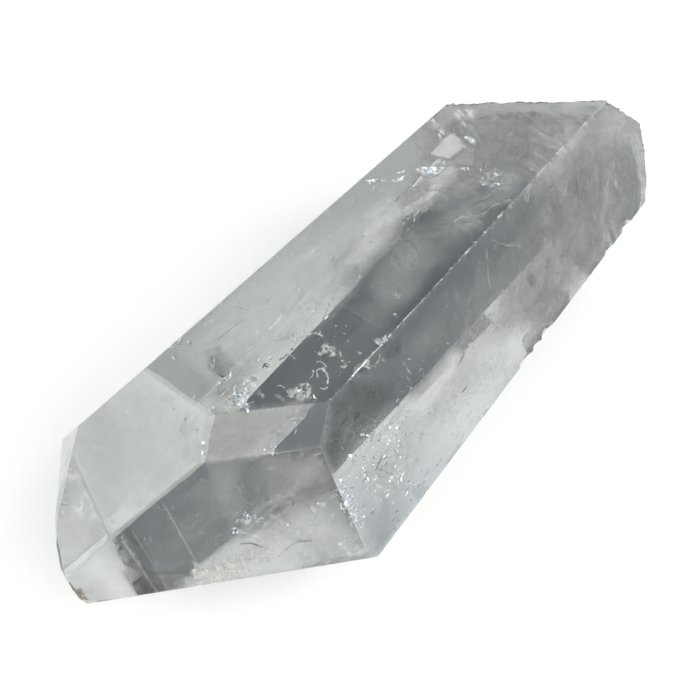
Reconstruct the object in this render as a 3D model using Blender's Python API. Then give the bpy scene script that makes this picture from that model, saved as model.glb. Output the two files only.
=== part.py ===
"""Clear quartz point: a six-sided prism lying on one long face, with a worn tip at -X and a broken end at +X.

Metres, +Z up. The long axis of the crystal is parallel to X, and the face seen from above is level.
Prism faces are numbered around the crystal from the top one, turning towards -Y:
0 top, 1 front upper, 2 front lower, 3 bottom, 4 back lower, 5 back upper.
"""

import math

import bmesh
import bpy
from mathutils import Matrix, Vector, noise

# Prism, as distances between opposite faces
TOP_TO_BOTTOM = 0.02672
FRONT_UPPER_TO_BACK_LOWER = 0.02354
FRONT_LOWER_TO_BACK_UPPER = 0.02684
FACE_TURN = math.radians(60.0)

# Point: tilt of each end face from the long axis, and how far behind the tip it meets its own prism face
END_FACE_TILT = math.radians(51.79)
SHOULDERS = {0: 0.01406, 1: 0.01850, 2: 0.01941, 3: 0.01500, 4: 0.01141, 5: 0.00861}
CORNER_FACE_TILT = math.radians(65.56)
CORNER_FACE_SHOULDER = 0.02138

# Worn tip: planes that take off the sharp end, as tilt from the axis, turn around it, and depth from the tip
TIP_WEAR = (
    (math.radians(10.0), math.radians(70.0), 0.00012),
    (math.radians(36.0), math.radians(185.0), 0.00025),
    (math.radians(42.0), math.radians(35.0), 0.00020),
    (math.radians(26.0), math.radians(112.0), 0.00020),
)

# Broken end: slopes that bound it, each as reach along the axis, rise per metre of Y and rise per metre of Z
BREAK_SLOPES = (
    (0.0809, -1.02, -0.78),
    (0.0851, 0.05, 0.02),
    (0.0912, 0.55, 0.30),
    (0.0826, -0.24, 0.36),
    (0.0836, -0.66, 0.10),
    (0.0846, -0.10, 0.62),
)
BREAK_GRID = 36
BREAK_GRID_SIZE = 0.036
BREAK_ROUGHNESS = 0.00050
BREAK_WAVE = 0.0042

# Scoops left where shells of quartz flaked off the broken end: Y, Z above the axis, radius, depth
SCOOPS = (
    (-0.0010, 0.0068, 0.0052, 0.0010),
    (0.0056, 0.0040, 0.0050, 0.0012),
    (-0.0062, -0.0052, 0.0060, 0.0014),
    (0.0042, -0.0070, 0.0058, 0.0013),
    (0.0100, -0.0012, 0.0042, 0.0010),
    (-0.0048, 0.0006, 0.0030, 0.0007),
)

# Chips along the long edges: edge between face N and N + 1, distance behind the tip, length, depth
EDGE_CHIPS = (
    (1, 0.0488, 0.0030, 0.00060),
    (1, 0.0514, 0.0022, 0.00050),
    (1, 0.0543, 0.0036, 0.00070),
    (1, 0.0712, 0.0026, 0.00055),
    (1, 0.0768, 0.0034, 0.00075),
    (0, 0.0262, 0.0040, 0.00038),
    (0, 0.0297, 0.0026, 0.00032),
    (2, 0.0402, 0.0034, 0.00060),
    (4, 0.0563, 0.0040, 0.00065),
    (5, 0.0178, 0.0020, 0.00032),
)
CHIP_SIDES = 7
CORNER_WEAR = 0.00020

BLANK_LENGTH = 0.110
BLANK_WIDTH = 0.050
WELD_DISTANCE = 0.00001


def clear_blender_file():
    for item in list(bpy.data.objects):
        bpy.data.objects.remove(item, do_unlink=True)
    for group in list(bpy.data.collections):
        bpy.data.collections.remove(group)


def collection_named(name):
    group = bpy.data.collections.new(name)
    bpy.context.scene.collection.children.link(group)
    return group


def object_from(shape, name, group):
    mesh = bpy.data.meshes.new(name)
    bmesh.ops.recalc_face_normals(shape, faces=shape.faces)
    shape.to_mesh(mesh)
    shape.free()
    made = bpy.data.objects.new(name, mesh)
    group.objects.link(made)
    return made


def prism_direction(face):
    """Outward direction of a prism face."""
    turn = math.radians(90.0) + face * FACE_TURN
    return Vector((0.0, math.cos(turn), math.sin(turn)))


def tilted_direction(turn, tilt):
    """Outward direction of a face at the point, tilted from the axis towards a turn around it."""
    return Vector((-math.cos(tilt), math.cos(turn) * math.sin(tilt), math.sin(turn) * math.sin(tilt)))


def prism_reach(face):
    """Distance of a prism face from the axis."""
    across = (TOP_TO_BOTTOM, FRONT_UPPER_TO_BACK_LOWER, FRONT_LOWER_TO_BACK_UPPER)
    return across[face % 3] / 2


def long_edge(face):
    """Point at the tip's station on the long edge between a prism face and the next one."""
    a, b = prism_direction(face), prism_direction(face + 1)
    spread = a.y * b.z - a.z * b.y
    y = (prism_reach(face) * b.z - prism_reach(face + 1) * a.z) / spread
    z = (a.y * prism_reach(face + 1) - b.y * prism_reach(face)) / spread
    return Vector((0.0, y, z))


def cut_flat(shape, point, direction):
    """Take off everything beyond a plane and close the cut with one flat face."""
    parts = shape.verts[:] + shape.edges[:] + shape.faces[:]
    cut = bmesh.ops.bisect_plane(
        shape,
        geom=parts,
        dist=WELD_DISTANCE,
        plane_co=point,
        plane_no=direction,
        clear_outer=True,
    )
    rim = [item for item in cut["geom_cut"] if isinstance(item, bmesh.types.BMEdge)]
    bmesh.ops.contextual_create(shape, geom=rim)


def crystal_blank():
    """Block, cut down to the prism and the faces of the point."""
    shape = bmesh.new()
    size = Matrix.Diagonal((BLANK_LENGTH, BLANK_WIDTH, BLANK_WIDTH, 1.0))
    middle = Matrix.Translation((BLANK_LENGTH / 2 - 0.010, 0.0, 0.0))
    bmesh.ops.create_cube(shape, size=1.0, matrix=middle @ size)
    for face in range(6):
        outward = prism_direction(face)
        cut_flat(shape, outward * prism_reach(face), outward)
    for face, shoulder in SHOULDERS.items():
        on_face = prism_direction(face) * prism_reach(face) + Vector((shoulder, 0.0, 0.0))
        turn = math.radians(90.0) + face * FACE_TURN
        cut_flat(shape, on_face, tilted_direction(turn, END_FACE_TILT))
    corner = long_edge(0) + Vector((CORNER_FACE_SHOULDER, 0.0, 0.0))
    corner_turn = math.radians(90.0) + FACE_TURN / 2
    cut_flat(shape, corner, tilted_direction(corner_turn, CORNER_FACE_TILT))
    wear_tip(shape)
    return shape


def wear_tip(shape):
    """Rub the tip down with small planes set in from its farthest point along each one's direction."""
    for tilt, turn, depth in TIP_WEAR:
        outward = tilted_direction(turn, tilt)
        farthest = max((vert.co for vert in shape.verts), key=outward.dot)
        cut_flat(shape, farthest - outward * depth, outward)


def wear_corners(shape):
    """Blunt each corner and long edge a little, as handling has left them."""
    edges = [edge for edge in shape.edges if edge.calc_face_angle(0.0) > math.radians(20.0)]
    bmesh.ops.bevel(
        shape,
        geom=edges,
        offset=CORNER_WEAR,
        offset_type="OFFSET",
        affect="EDGES",
        segments=1,
        profile=0.5,
        material=-1,
    )


def break_reach(y, z):
    """How far the crystal runs along the axis before the break, over one point of its section."""
    reach = min(base + across * y + up * z for base, across, up in BREAK_SLOPES)
    for scoop_y, scoop_z, radius, depth in SCOOPS:
        share = math.hypot(y - scoop_y, z - scoop_z) / radius
        reach -= depth * max(0.0, 1.0 - share * share)
    ripple = noise.noise(Vector((y, z, 0.0)) / BREAK_WAVE)
    ripple += 0.5 * noise.noise(Vector((z, y, 0.0)) / BREAK_WAVE * 2.1)
    return reach + BREAK_ROUGHNESS * ripple


def break_cutter(group):
    """Block beyond the broken end, with the fracture as its near side."""
    shape = bmesh.new()
    upright = Matrix.Rotation(math.radians(90.0), 4, "Y")
    bmesh.ops.create_grid(
        shape,
        x_segments=BREAK_GRID,
        y_segments=BREAK_GRID,
        size=BREAK_GRID_SIZE / 2,
        matrix=upright,
    )
    near = shape.faces[:]
    far = bmesh.ops.extrude_face_region(shape, geom=near, use_keep_orig=True)
    moved = [item for item in far["geom"] if isinstance(item, bmesh.types.BMVert)]
    for vert in moved:
        vert.co.x = BLANK_LENGTH
    for vert in shape.verts:
        if vert.co.x < BLANK_LENGTH / 2:
            vert.co.x = break_reach(vert.co.y, vert.co.z)
    return object_from(shape, "break_cutter", group)


def chip_cutters(group):
    """Faceted lens over each chip, half sunk in its edge."""
    cutters = []
    for index, (face, station, length, depth) in enumerate(EDGE_CHIPS):
        edge = long_edge(face)
        outward = (prism_direction(face) + prism_direction(face + 1)).normalized()
        width = length * 0.62
        shape = bmesh.new()
        bmesh.ops.create_uvsphere(shape, u_segments=CHIP_SIDES, v_segments=5, radius=1.0)
        turn = Matrix.Rotation(0.7 * index, 4, outward)
        stand = Vector((0.0, 0.0, 1.0)).rotation_difference(outward).to_matrix().to_4x4()
        size = Matrix.Diagonal((length / 2, width / 2, width / 2, 1.0))
        centre = edge + Vector((station, 0.0, 0.0)) + outward * (width / 2 - depth)
        bmesh.ops.transform(
            shape,
            verts=shape.verts,
            matrix=Matrix.Translation(centre) @ turn @ stand @ size,
        )
        cutters.append(object_from(shape, f"chip_cutter_{index}", group))
    return cutters


def cut_with(piece, cutter):
    """Exact Boolean difference, kept as geometry; the cutter stays in its own collection."""
    tool = piece.modifiers.new("cut", "BOOLEAN")
    tool.operation = "DIFFERENCE"
    tool.solver = "EXACT"
    tool.object = cutter


def clear_quartz():
    material = bpy.data.materials.new("clear_quartz")
    material.use_nodes = True
    shader = material.node_tree.nodes["Principled BSDF"]
    shader.inputs["Base Color"].default_value = (0.93, 0.95, 0.95, 1.0)
    shader.inputs["Roughness"].default_value = 0.03
    shader.inputs["IOR"].default_value = 1.544
    shader.inputs["Transmission Weight"].default_value = 1.0
    return material


def settle_on_origin(crystal):
    """Shift that brings the bottom face to z = 0 and the middle of the finished crystal to x = 0, y = 0."""
    finished = crystal.evaluated_get(bpy.context.evaluated_depsgraph_get())
    points = [vert.co for vert in finished.data.vertices]
    middle_x = (min(p.x for p in points) + max(p.x for p in points)) / 2
    middle_y = (min(p.y for p in points) + max(p.y for p in points)) / 2
    lowest = min(p.z for p in points)
    return Matrix.Translation((-middle_x, -middle_y, -lowest))


def main():
    clear_blender_file()
    group = collection_named("quartz_point")
    cutters = collection_named("cutters")
    shape = crystal_blank()
    wear_corners(shape)
    crystal = object_from(shape, "quartz_crystal", group)
    crystal.data.materials.append(clear_quartz())
    tools = [break_cutter(cutters)] + chip_cutters(cutters)
    for tool in tools:
        cut_with(crystal, tool)
        tool.hide_render = True
        tool.display_type = "WIRE"
    place = settle_on_origin(crystal)
    for piece in [crystal] + tools:
        piece.data.transform(place)


main()
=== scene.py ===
"""Clear quartz point with its growth lines, worn edges, broken end, veils and inclusions, on a pale floor.

Metres, +Z up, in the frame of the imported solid: the long axis lies along X, with the point at -X.
The natural faces are named long_0 to long_5 around the crystal from the top one, turning towards -Y,
end_0 to end_5 above them at the point, and corner for the small face between long_0 and long_1.
"""

import math
import random

import bmesh
import bpy
from mathutils import Matrix, Vector, noise
from mathutils.bvhtree import BVHTree
from mathutils.geometry import intersect_point_line


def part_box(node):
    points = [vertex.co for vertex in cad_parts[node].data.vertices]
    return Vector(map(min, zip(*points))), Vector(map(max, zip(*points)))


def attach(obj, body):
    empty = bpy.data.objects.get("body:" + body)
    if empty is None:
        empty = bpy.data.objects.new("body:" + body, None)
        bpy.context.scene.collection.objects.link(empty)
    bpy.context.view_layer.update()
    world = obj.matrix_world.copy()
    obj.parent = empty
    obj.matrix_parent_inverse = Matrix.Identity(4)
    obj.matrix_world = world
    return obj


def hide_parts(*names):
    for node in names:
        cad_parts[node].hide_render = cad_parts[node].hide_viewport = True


bl_info = {
    "name": "Quartz Point",
    "version": (1, 0, 0),
    "blender": (4, 5, 0),
    "location": "3D View > Sidebar > Quartz",
    "description": "Builds a clear quartz point with its veils and inclusions",
    "category": "Add Mesh",
}

NODE = "quartz_crystal"
MM = 0.001
WELD = 1e-7
ALONG = Vector((1.0, 0.0, 0.0))
UP = Vector((0.0, 0.0, 1.0))

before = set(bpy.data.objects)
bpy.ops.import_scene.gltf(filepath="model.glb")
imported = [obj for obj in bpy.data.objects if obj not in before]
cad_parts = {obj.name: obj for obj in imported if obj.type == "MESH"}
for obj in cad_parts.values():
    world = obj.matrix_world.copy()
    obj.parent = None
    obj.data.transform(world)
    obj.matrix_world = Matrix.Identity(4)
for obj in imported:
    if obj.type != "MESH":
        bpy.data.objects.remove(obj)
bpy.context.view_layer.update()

# Directions of the natural faces: turn around the axis from the top face, and tilt from the axis
FACE_TURN = math.radians(60.0)
END_FACE_TILT = math.radians(51.79)
CORNER_FACE_TILT = math.radians(65.56)
TIP_WEAR_FACES = ((10.0, 70.0), (36.0, 185.0), (42.0, 35.0), (26.0, 112.0))
REFRACTION = 1.544

# Camera of the photograph: place, direction it is seen from, roll, and width of its view
CAMERA_PLACE = Vector((-56.03, -24.92, 84.56)) * MM
CAMERA_AZIMUTH = math.radians(-62.64)
CAMERA_ELEVATION = math.radians(51.93)
CAMERA_ROLL = math.radians(10.14)
CAMERA_LENS = 43.89
SENSOR_WIDTH = 36.0
PHOTO_SIDE = 700

# Chips along the long edges: edge between face N and N + 1, X, length, depth, in millimetres
EDGE_CHIPS = (
    (1, 6.2, 3.0, 0.60),
    (1, 8.8, 2.2, 0.50),
    (1, 11.7, 3.6, 0.70),
    (1, 28.6, 2.6, 0.55),
    (1, 34.2, 3.4, 0.75),
    (0, -16.4, 4.0, 0.38),
    (0, -12.9, 2.6, 0.32),
    (2, -2.4, 3.4, 0.60),
    (4, 13.7, 4.0, 0.65),
    (5, -24.8, 2.0, 0.32),
)

# Seeds of the random draws: the chips, the nicks, and the first of the grains and of the specks
CHIP_SEED = 4
NICK_SEED = 12
GRAIN_SEED = 100
SPECK_SEED = 500

# Small nicks strewn along the edges: edge, first and last X, how many, in millimetres
NICK_RUNS = (
    (0, -23.0, 32.0, 34),
    (0, -18.0, -10.0, 10),
    (1, -20.0, 36.0, 12),
    (5, -22.0, 30.0, 8),
)

# Long edge that has stayed sharp, at the back of the resting face
FRESH_EDGE = 3

# Least turns between faces: of an edge that wears, and of an edge that stays sharp in the shading
WORN_EDGE_TURN = math.radians(15.0)
SHARP_EDGE_TURN = math.radians(34.0)

# Broken end: cuts and half-width of the grid that carries it, band that crumbles at its rim, and the X past
# which it can cut off what hangs inside
FRACTURE_CUTS = 96
FRACTURE_HALF_WIDTH = 17.5 * MM
CRUMBLING_BAND = 2.6 * MM
FRACTURE_START = 20 * MM

# Relief of the break in millimetres: broad shells, fine shells, ripples, crumbling rim, and what lifts it all
BROAD_SHELLS = 0.30
FINE_SHELLS = 0.16
RIPPLES = 0.05
CRUMBLING = 0.75
RELIEF_LIFT = 0.12

# How strongly the body absorbs, per metre
ABSORPTION = 22.0

# Fineness of the pits in the faces, of the patches that have them, of the dull patches and of the frosted
# break; depth of the pits; greatest roughness of a dull patch; and roughness of the break
PIT_SCALE = 1500.0
PITTED_PATCH_SCALE = 420.0
DULL_PATCH_SCALE = 260.0
FROST_SCALE = 330.0
PIT_DEPTH = 0.016 * MM
DULLEST = 0.05
FROST_ROUGHNESS = (0.10, 0.42)

# Tones of what lies inside, the dark painted shade of the hazes and cracks among them, and the shares of the
# veils' own colour that the grey veils of painted shade and the milky veils have
WHITE = (0.97, 0.97, 0.94)
# Dark tone of the hazes: painted shade
DARK_SHADE = (0.06, 0.065, 0.07)
RUST = (0.36, 0.30, 0.20)
# Dark tone of the films along the cracks: painted shade
PAINTED_CRACK_SHADE = (0.05, 0.055, 0.055)
# Share of the veils' colour that makes the grey veils: painted shade
GREY_SHADE_SHARE = 0.55
MILK_SHARE = 1.09

# Light and dark cards of the studio: direction, outer and inner angle, colour
CARDS = (
    ((0.0, -0.75, 0.66), 42.0, 27.0, (2.9, 2.9, 2.85)),
    ((-0.64, 0.28, 0.72), 32.0, 18.0, (1.60, 1.60, 1.56)),
    ((0.54, -0.83, -0.12), 24.0, 12.0, (0.38, 0.40, 0.38)),
    ((0.63, -0.73, 0.25), 13.0, 5.0, (0.28, 0.30, 0.29)),
    ((0.68, 0.53, -0.50), 14.0, 7.0, (0.03, 0.045, 0.06)),
)

# Colour of the surroundings from straight down to straight up
SURROUNDINGS = (
    (-1.00, (0.070, 0.085, 0.098)),
    (-0.64, (0.070, 0.085, 0.098)),
    (-0.52, (0.120, 0.138, 0.152)),
    (-0.40, (0.460, 0.500, 0.520)),
    (-0.25, (0.610, 0.650, 0.665)),
    (0.00, (0.700, 0.725, 0.715)),
    (0.50, (0.720, 0.740, 0.720)),
    (1.00, (0.640, 0.660, 0.640)),
)


class QuartzSizes(bpy.types.PropertyGroup):
    edge_wear: bpy.props.FloatProperty(
        name="Edge wear",
        description="Width of the blunted long edges and corners",
        default=0.09 * MM,
        min=0.03 * MM,
        max=1.0 * MM,
        precision=5,
        unit="LENGTH",
    )
    mesh_step: bpy.props.FloatProperty(
        name="Surface step",
        description="Spacing of the mesh that carries the slow waves of the flat faces",
        default=1.1 * MM,
        min=0.2 * MM,
        max=4.0 * MM,
        precision=5,
        unit="LENGTH",
    )
    face_wave: bpy.props.FloatProperty(
        name="Face waviness",
        description="Height of the slow growth waves on the faces",
        default=0.006 * MM,
        min=0.0,
        max=0.1 * MM,
        precision=6,
        unit="LENGTH",
    )


class QuartzColours(bpy.types.PropertyGroup):
    tint: bpy.props.FloatVectorProperty(
        name="Body tint",
        description="What the crystal lets through over a long path",
        default=(0.91, 0.93, 0.925),
        min=0.0,
        max=1.0,
        size=3,
        subtype="COLOR",
    )
    veil: bpy.props.FloatVectorProperty(
        name="Veils",
        description="Colour of the cloudy veils inside the crystal",
        default=(0.90, 0.915, 0.90),
        min=0.0,
        max=1.0,
        size=3,
        subtype="COLOR",
    )


def prism_direction(face):
    """Outward direction of a long face: 0 top, then turning towards -Y."""
    turn = math.radians(90.0) + face * FACE_TURN
    return Vector((0.0, math.cos(turn), math.sin(turn)))


def edge_direction(face):
    """Outward direction of the long edge between a face and the next one."""
    return (prism_direction(face) + prism_direction(face + 1)).normalized()


def tilted_direction(turn, tilt):
    """Outward direction of a face at the point, tilted from the axis towards a turn around it."""
    return Vector((-math.cos(tilt), math.cos(turn) * math.sin(tilt), math.sin(turn) * math.sin(tilt)))


def natural_faces():
    """Name and outward direction of each natural face."""
    faces = {f"long_{i}": prism_direction(i) for i in range(6)}
    for i in range(6):
        faces[f"end_{i}"] = tilted_direction(math.radians(90.0) + i * FACE_TURN, END_FACE_TILT)
    faces["corner"] = tilted_direction(math.radians(90.0) + FACE_TURN / 2, CORNER_FACE_TILT)
    for i, (tilt, turn) in enumerate(TIP_WEAR_FACES):
        faces[f"wear_{i}"] = tilted_direction(math.radians(turn), math.radians(tilt))
    return faces


def frame_points():
    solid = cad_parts[NODE]
    return [solid.matrix_world @ vert.co for vert in solid.data.vertices]


FACES = natural_faces()
SOLID_POINTS = frame_points()
REACH = {name: max(point.dot(out) for point in SOLID_POINTS) for name, out in FACES.items()}
BOX_LOW, BOX_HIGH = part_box(NODE)
LENGTH = BOX_HIGH[0] - BOX_LOW[0]
MIDDLE_Z = (BOX_LOW[2] + BOX_HIGH[2]) / 2


def camera_turn():
    turn = Matrix.Rotation(CAMERA_AZIMUTH, 3, "Z")
    turn = turn @ Matrix.Rotation(math.pi / 2 - CAMERA_ELEVATION, 3, "X")
    return turn @ Matrix.Rotation(CAMERA_ROLL, 3, "Z")


def line_of_sight(mark):
    """Direction from the camera through one place of the photograph."""
    reach = CAMERA_LENS / SENSOR_WIDTH * PHOTO_SIDE
    across = mark[0] - PHOTO_SIDE / 2
    up = PHOTO_SIDE / 2 - mark[1]
    return (camera_turn() @ Vector((across, up, -reach))).normalized()


def on_face(mark, face):
    """Place on a natural face that the photograph shows at a mark."""
    sight = line_of_sight(mark)
    out = FACES[face]
    return CAMERA_PLACE + sight * ((REACH[face] - out.dot(CAMERA_PLACE)) / out.dot(sight))


def bent_inwards(direction, out):
    """Direction of light inside the quartz, after it comes in through a face."""
    slant = -direction.dot(out)
    share = 1 / REFRACTION
    along = math.sqrt(1 - share * share * (1 - slant * slant))
    return (direction * share + out * (share * slant - along)).normalized()


def under_face(mark, face, depth):
    """Place that a mark shows at a depth under a face."""
    inwards = bent_inwards(line_of_sight(mark), FACES[face])
    return on_face(mark, face) + inwards * (depth / -inwards.dot(FACES[face]))


def object_from(shape, name, material):
    mesh = bpy.data.meshes.new(name)
    shape.to_mesh(mesh)
    shape.free()
    piece = bpy.data.objects.new(name, mesh)
    bpy.context.scene.collection.objects.link(piece)
    if material:
        mesh.materials.append(material)
    return piece


def cut_flat(shape, point, direction, close=True):
    """Take off everything beyond a plane, and close the cut with one flat face."""
    parts = shape.verts[:] + shape.edges[:] + shape.faces[:]
    cut = bmesh.ops.bisect_plane(
        shape, geom=parts, dist=WELD, plane_co=point, plane_no=direction, clear_outer=True
    )
    rim = [item for item in cut["geom_cut"] if isinstance(item, bmesh.types.BMEdge)]
    if rim and close:
        bmesh.ops.contextual_create(shape, geom=rim)


def long_edge(face, x):
    """Point at a given X on the sharp long edge between a face and the next one."""
    a, b = prism_direction(face), prism_direction(face + 1)
    reach_a, reach_b = REACH[f"long_{face % 6}"], REACH[f"long_{(face + 1) % 6}"]
    spread = a.y * b.z - a.z * b.y
    y = (reach_a * b.z - reach_b * a.z) / spread
    z = (a.y * reach_b - b.y * reach_a) / spread
    return Vector((x, y, z))


def on_long_edge(edge, face):
    return all((vert.co - long_edge(face, vert.co.x)).length < 0.01 * MM for vert in edge.verts)


def blank_crystal(edge_wear):
    """Block cut down to the natural faces, with its edges blunted."""
    shape = bmesh.new()
    size = Matrix.Diagonal((LENGTH + 10 * MM, 60 * MM, 60 * MM, 1.0))
    bmesh.ops.create_cube(shape, size=1.0, matrix=Matrix.Translation((2 * MM, 0.0, MIDDLE_Z)) @ size)
    for name, out in FACES.items():
        cut_flat(shape, out * REACH[name], out)
    edges = [edge for edge in shape.edges if edge.calc_face_angle(0.0) > WORN_EDGE_TURN]
    edges = [e for e in edges if min(v.co.x for v in e.verts) < BOX_HIGH[0]]
    edges = [e for e in edges if not on_long_edge(e, FRESH_EDGE)]
    bmesh.ops.bevel(
        shape,
        geom=edges,
        offset=edge_wear,
        offset_type="OFFSET",
        affect="EDGES",
        segments=2,
        profile=0.5,
        material=-1,
        clamp_overlap=True,
    )
    bmesh.ops.recalc_face_normals(shape, faces=shape.faces)
    return shape


def solid_tree():
    shape = bmesh.new()
    shape.from_mesh(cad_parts[NODE].data)
    tree = BVHTree.FromBMesh(shape)
    shape.free()
    return tree


def fracture_reach(tree, y, z):
    """X of the solid's broken end over one point of its section, carried outwards past the section's rim."""
    share = 1.0
    while share > 0.05:
        start = Vector((BOX_HIGH[0] + 10 * MM, y * share, MIDDLE_Z + (z - MIDDLE_Z) * share))
        place = tree.ray_cast(start, -ALONG)[0]
        if place is not None:
            return place.x
        share *= 0.97
    return BOX_HIGH[0]


def rim_nearness(y, z):
    """1 at the rim of the section, falling to 0 a few millimetres inside it."""
    inside = min(REACH[f"long_{i}"] - FACES[f"long_{i}"].dot(Vector((0.0, y, z))) for i in range(6))
    return max(0.0, min(1.0, 1.0 - inside / CRUMBLING_BAND))


def fracture_relief(y, z):
    """Fine relief of the break: shell-like ripples inside, crumbling towards the rim."""
    place = Vector((0.0, y, z)) / MM
    relief = -BROAD_SHELLS * abs(noise.noise(place * 0.42))
    relief -= FINE_SHELLS * abs(noise.noise(place * 1.1 + Vector((3.0, 7.0, 0.0))))
    relief += RIPPLES * math.sin(5.5 * noise.noise(place * 0.22) + place.length * 2.4)
    relief -= rim_nearness(y, z) * CRUMBLING * abs(noise.noise(place * 1.5 + Vector((9.0, 1.0, 4.0))))
    return (relief + RELIEF_LIFT) * MM


def fracture_cutter(tree):
    """Block beyond the broken end, with the fracture as its near side."""
    shape = bmesh.new()
    upright = Matrix.Translation((0.0, 0.0, MIDDLE_Z)) @ Matrix.Rotation(math.radians(90.0), 4, "Y")
    bmesh.ops.create_grid(
        shape, x_segments=FRACTURE_CUTS, y_segments=FRACTURE_CUTS, size=FRACTURE_HALF_WIDTH, matrix=upright
    )
    far_x = BOX_HIGH[0] + 12 * MM
    far = bmesh.ops.extrude_face_region(shape, geom=shape.faces[:], use_keep_orig=True)
    for item in far["geom"]:
        if isinstance(item, bmesh.types.BMVert):
            item.co.x = far_x
    for vert in shape.verts:
        if vert.co.x < far_x - MM:
            vert.co.x = fracture_reach(tree, vert.co.y, vert.co.z) + fracture_relief(vert.co.y, vert.co.z)
    bmesh.ops.recalc_face_normals(shape, faces=shape.faces)
    return object_from(shape, "fracture_cutter", None)


def chip_tool(shape, face, x, length, depth, chance):
    """Uneven lens that bites into a long edge."""
    out = edge_direction(face)
    width = length * 0.62
    stand = UP.rotation_difference(out).to_matrix().to_4x4()
    turn = Matrix.Rotation(chance.uniform(-0.5, 0.5), 4, out)
    spread = Matrix.Diagonal((length / 2, width / 2, width / 2, 1.0))
    place = Matrix.Translation(long_edge(face, x) + out * (width / 2 - depth))
    made = bmesh.ops.create_icosphere(shape, subdivisions=3, radius=1.0, matrix=place @ turn @ stand @ spread)
    for vert in made["verts"]:
        wave = noise.noise(vert.co / (0.5 * length) + Vector((x, depth, 0.0)) / MM)
        vert.co += out * wave * 0.16 * width


def chips_cutter():
    """One tool with every larger chip of the long edges."""
    chance = random.Random(CHIP_SEED)
    shape = bmesh.new()
    for face, x, length, depth in EDGE_CHIPS:
        chip_tool(shape, face, x * MM, length * MM, depth * MM, chance)
    return object_from(shape, "chips_cutter", None)


def nicks_cutter():
    """One tool with the many small nicks of the worn edges."""
    chance = random.Random(NICK_SEED)
    shape = bmesh.new()
    for face, first, last, count in NICK_RUNS:
        out = edge_direction(face)
        for i in range(count):
            x = first + (last - first) * (i + chance.random() * 0.8) / count
            size = chance.uniform(0.16, 0.42) * MM
            bite = chance.uniform(0.03, 0.12) * MM
            turn = Matrix.Rotation(chance.uniform(0.0, 3.0), 4, out)
            tilt = Matrix.Rotation(chance.uniform(-0.6, 0.6), 4, "X")
            spread = Matrix.Diagonal((size * chance.uniform(0.8, 2.2), size, size, 1.0))
            place = Matrix.Translation(long_edge(face, x * MM) + out * (size - bite - 0.05 * MM))
            bmesh.ops.create_icosphere(shape, subdivisions=1, radius=1.0, matrix=place @ turn @ tilt @ spread)
    return object_from(shape, "nicks_cutter", None)


def subtract(piece, cutters):
    """Cut each tool out of a piece, keep the result as its mesh, and remove the tools."""
    for cutter in cutters:
        tool = piece.modifiers.new("cut", "BOOLEAN")
        tool.operation = "DIFFERENCE"
        tool.solver = "EXACT"
        tool.use_self = cutter.name.startswith("nicks")
        tool.object = cutter
    graph = bpy.context.evaluated_depsgraph_get()
    finished = bpy.data.meshes.new_from_object(piece.evaluated_get(graph))
    piece.modifiers.clear()
    old = piece.data
    piece.data = finished
    bpy.data.meshes.remove(old)
    for cutter in cutters:
        mesh = cutter.data
        bpy.data.objects.remove(cutter, do_unlink=True)
        bpy.data.meshes.remove(mesh)


def with_edges_and_corners(faces):
    verts = {vert for face in faces for vert in face.verts}
    edges = {edge for face in faces for edge in face.edges}
    return list(verts) + list(edges) + list(faces)


def slice_region(shape, faces, direction, step):
    """Cross a flat region with parallel cuts, a step apart."""
    spots = [direction.dot(vert.co) for face in faces for vert in face.verts]
    low, high = min(spots), max(spots)
    count = max(1, round((high - low) / step))
    done = []
    ahead = list(faces)
    for i in range(1, count):
        spot = low + (high - low) * i / count
        cut = bmesh.ops.bisect_plane(
            shape,
            geom=with_edges_and_corners(ahead),
            dist=WELD,
            plane_co=direction * spot,
            plane_no=direction,
        )
        ahead = []
        for item in cut["geom"]:
            if not isinstance(item, bmesh.types.BMFace) or not item.is_valid:
                continue
            side = done if direction.dot(item.calc_center_median()) < spot else ahead
            side.append(item)
    return done + ahead


def flat_region(shape, out, reach):
    """Faces of a mesh that lie on one natural face."""
    return [
        face
        for face in shape.faces
        if face.normal.dot(out) > 0.9999 and abs(face.calc_center_median().dot(out) - reach) < 0.02 * MM
    ]


def refine_faces(shape, step):
    """Give each natural face an even grid."""
    for name, out in FACES.items():
        if name.startswith("wear"):
            continue
        region = flat_region(shape, out, REACH[name])
        if not region:
            continue
        along = ALONG - out * out.x
        along.normalize()
        region = slice_region(shape, region, along, step)
        slice_region(shape, region, out.cross(along), step)


def raise_waves(shape, wave):
    """Lift the faces a little in slow waves, as growth leaves them."""
    shape.normal_update()
    moves = []
    for vert in shape.verts:
        out = vert.normal
        if out.x < 0.3:
            spot = vert.co / MM
            height = noise.noise(spot * 0.16) + 0.35 * noise.noise(spot * 0.5 + Vector((5.0, 2.0, 8.0)))
            moves.append((vert, out * height * wave))
    for vert, move in moves:
        vert.co += move


def mark_broken(shape):
    """Note on each vertex whether it belongs to the fracture, for its frosted finish."""
    broken = shape.verts.layers.float.new("broken")
    for face in shape.faces:
        if face.normal.x > 0.25:
            for vert in face.verts:
                vert[broken] = 1.0


def add_node(tree, kind, **settings):
    """New node with its settings, and its sockets by name where the name is a socket's."""
    node = tree.nodes.new(kind)
    for key, value in settings.items():
        name = key.replace("_", " ")
        if name in node.inputs:
            node.inputs[name].default_value = value
        else:
            setattr(node, key, value)
    return node


def placed_pattern(tree, scale, turn=(0.0, 0.0, 0.0)):
    """Object coordinates, stretched and turned for a pattern."""
    coordinate = add_node(tree, "ShaderNodeTexCoord")
    mapping = add_node(tree, "ShaderNodeMapping")
    mapping.inputs["Scale"].default_value = scale
    mapping.inputs["Rotation"].default_value = turn
    tree.links.new(coordinate.outputs["Object"], mapping.inputs["Vector"])
    return mapping.outputs["Vector"]


def noise_value(tree, vector, scale, detail=2.0, roughness=0.5):
    texture = add_node(tree, "ShaderNodeTexNoise", Scale=scale, Detail=detail, Roughness=roughness)
    tree.links.new(vector, texture.inputs["Vector"])
    return texture.outputs[0]


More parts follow.
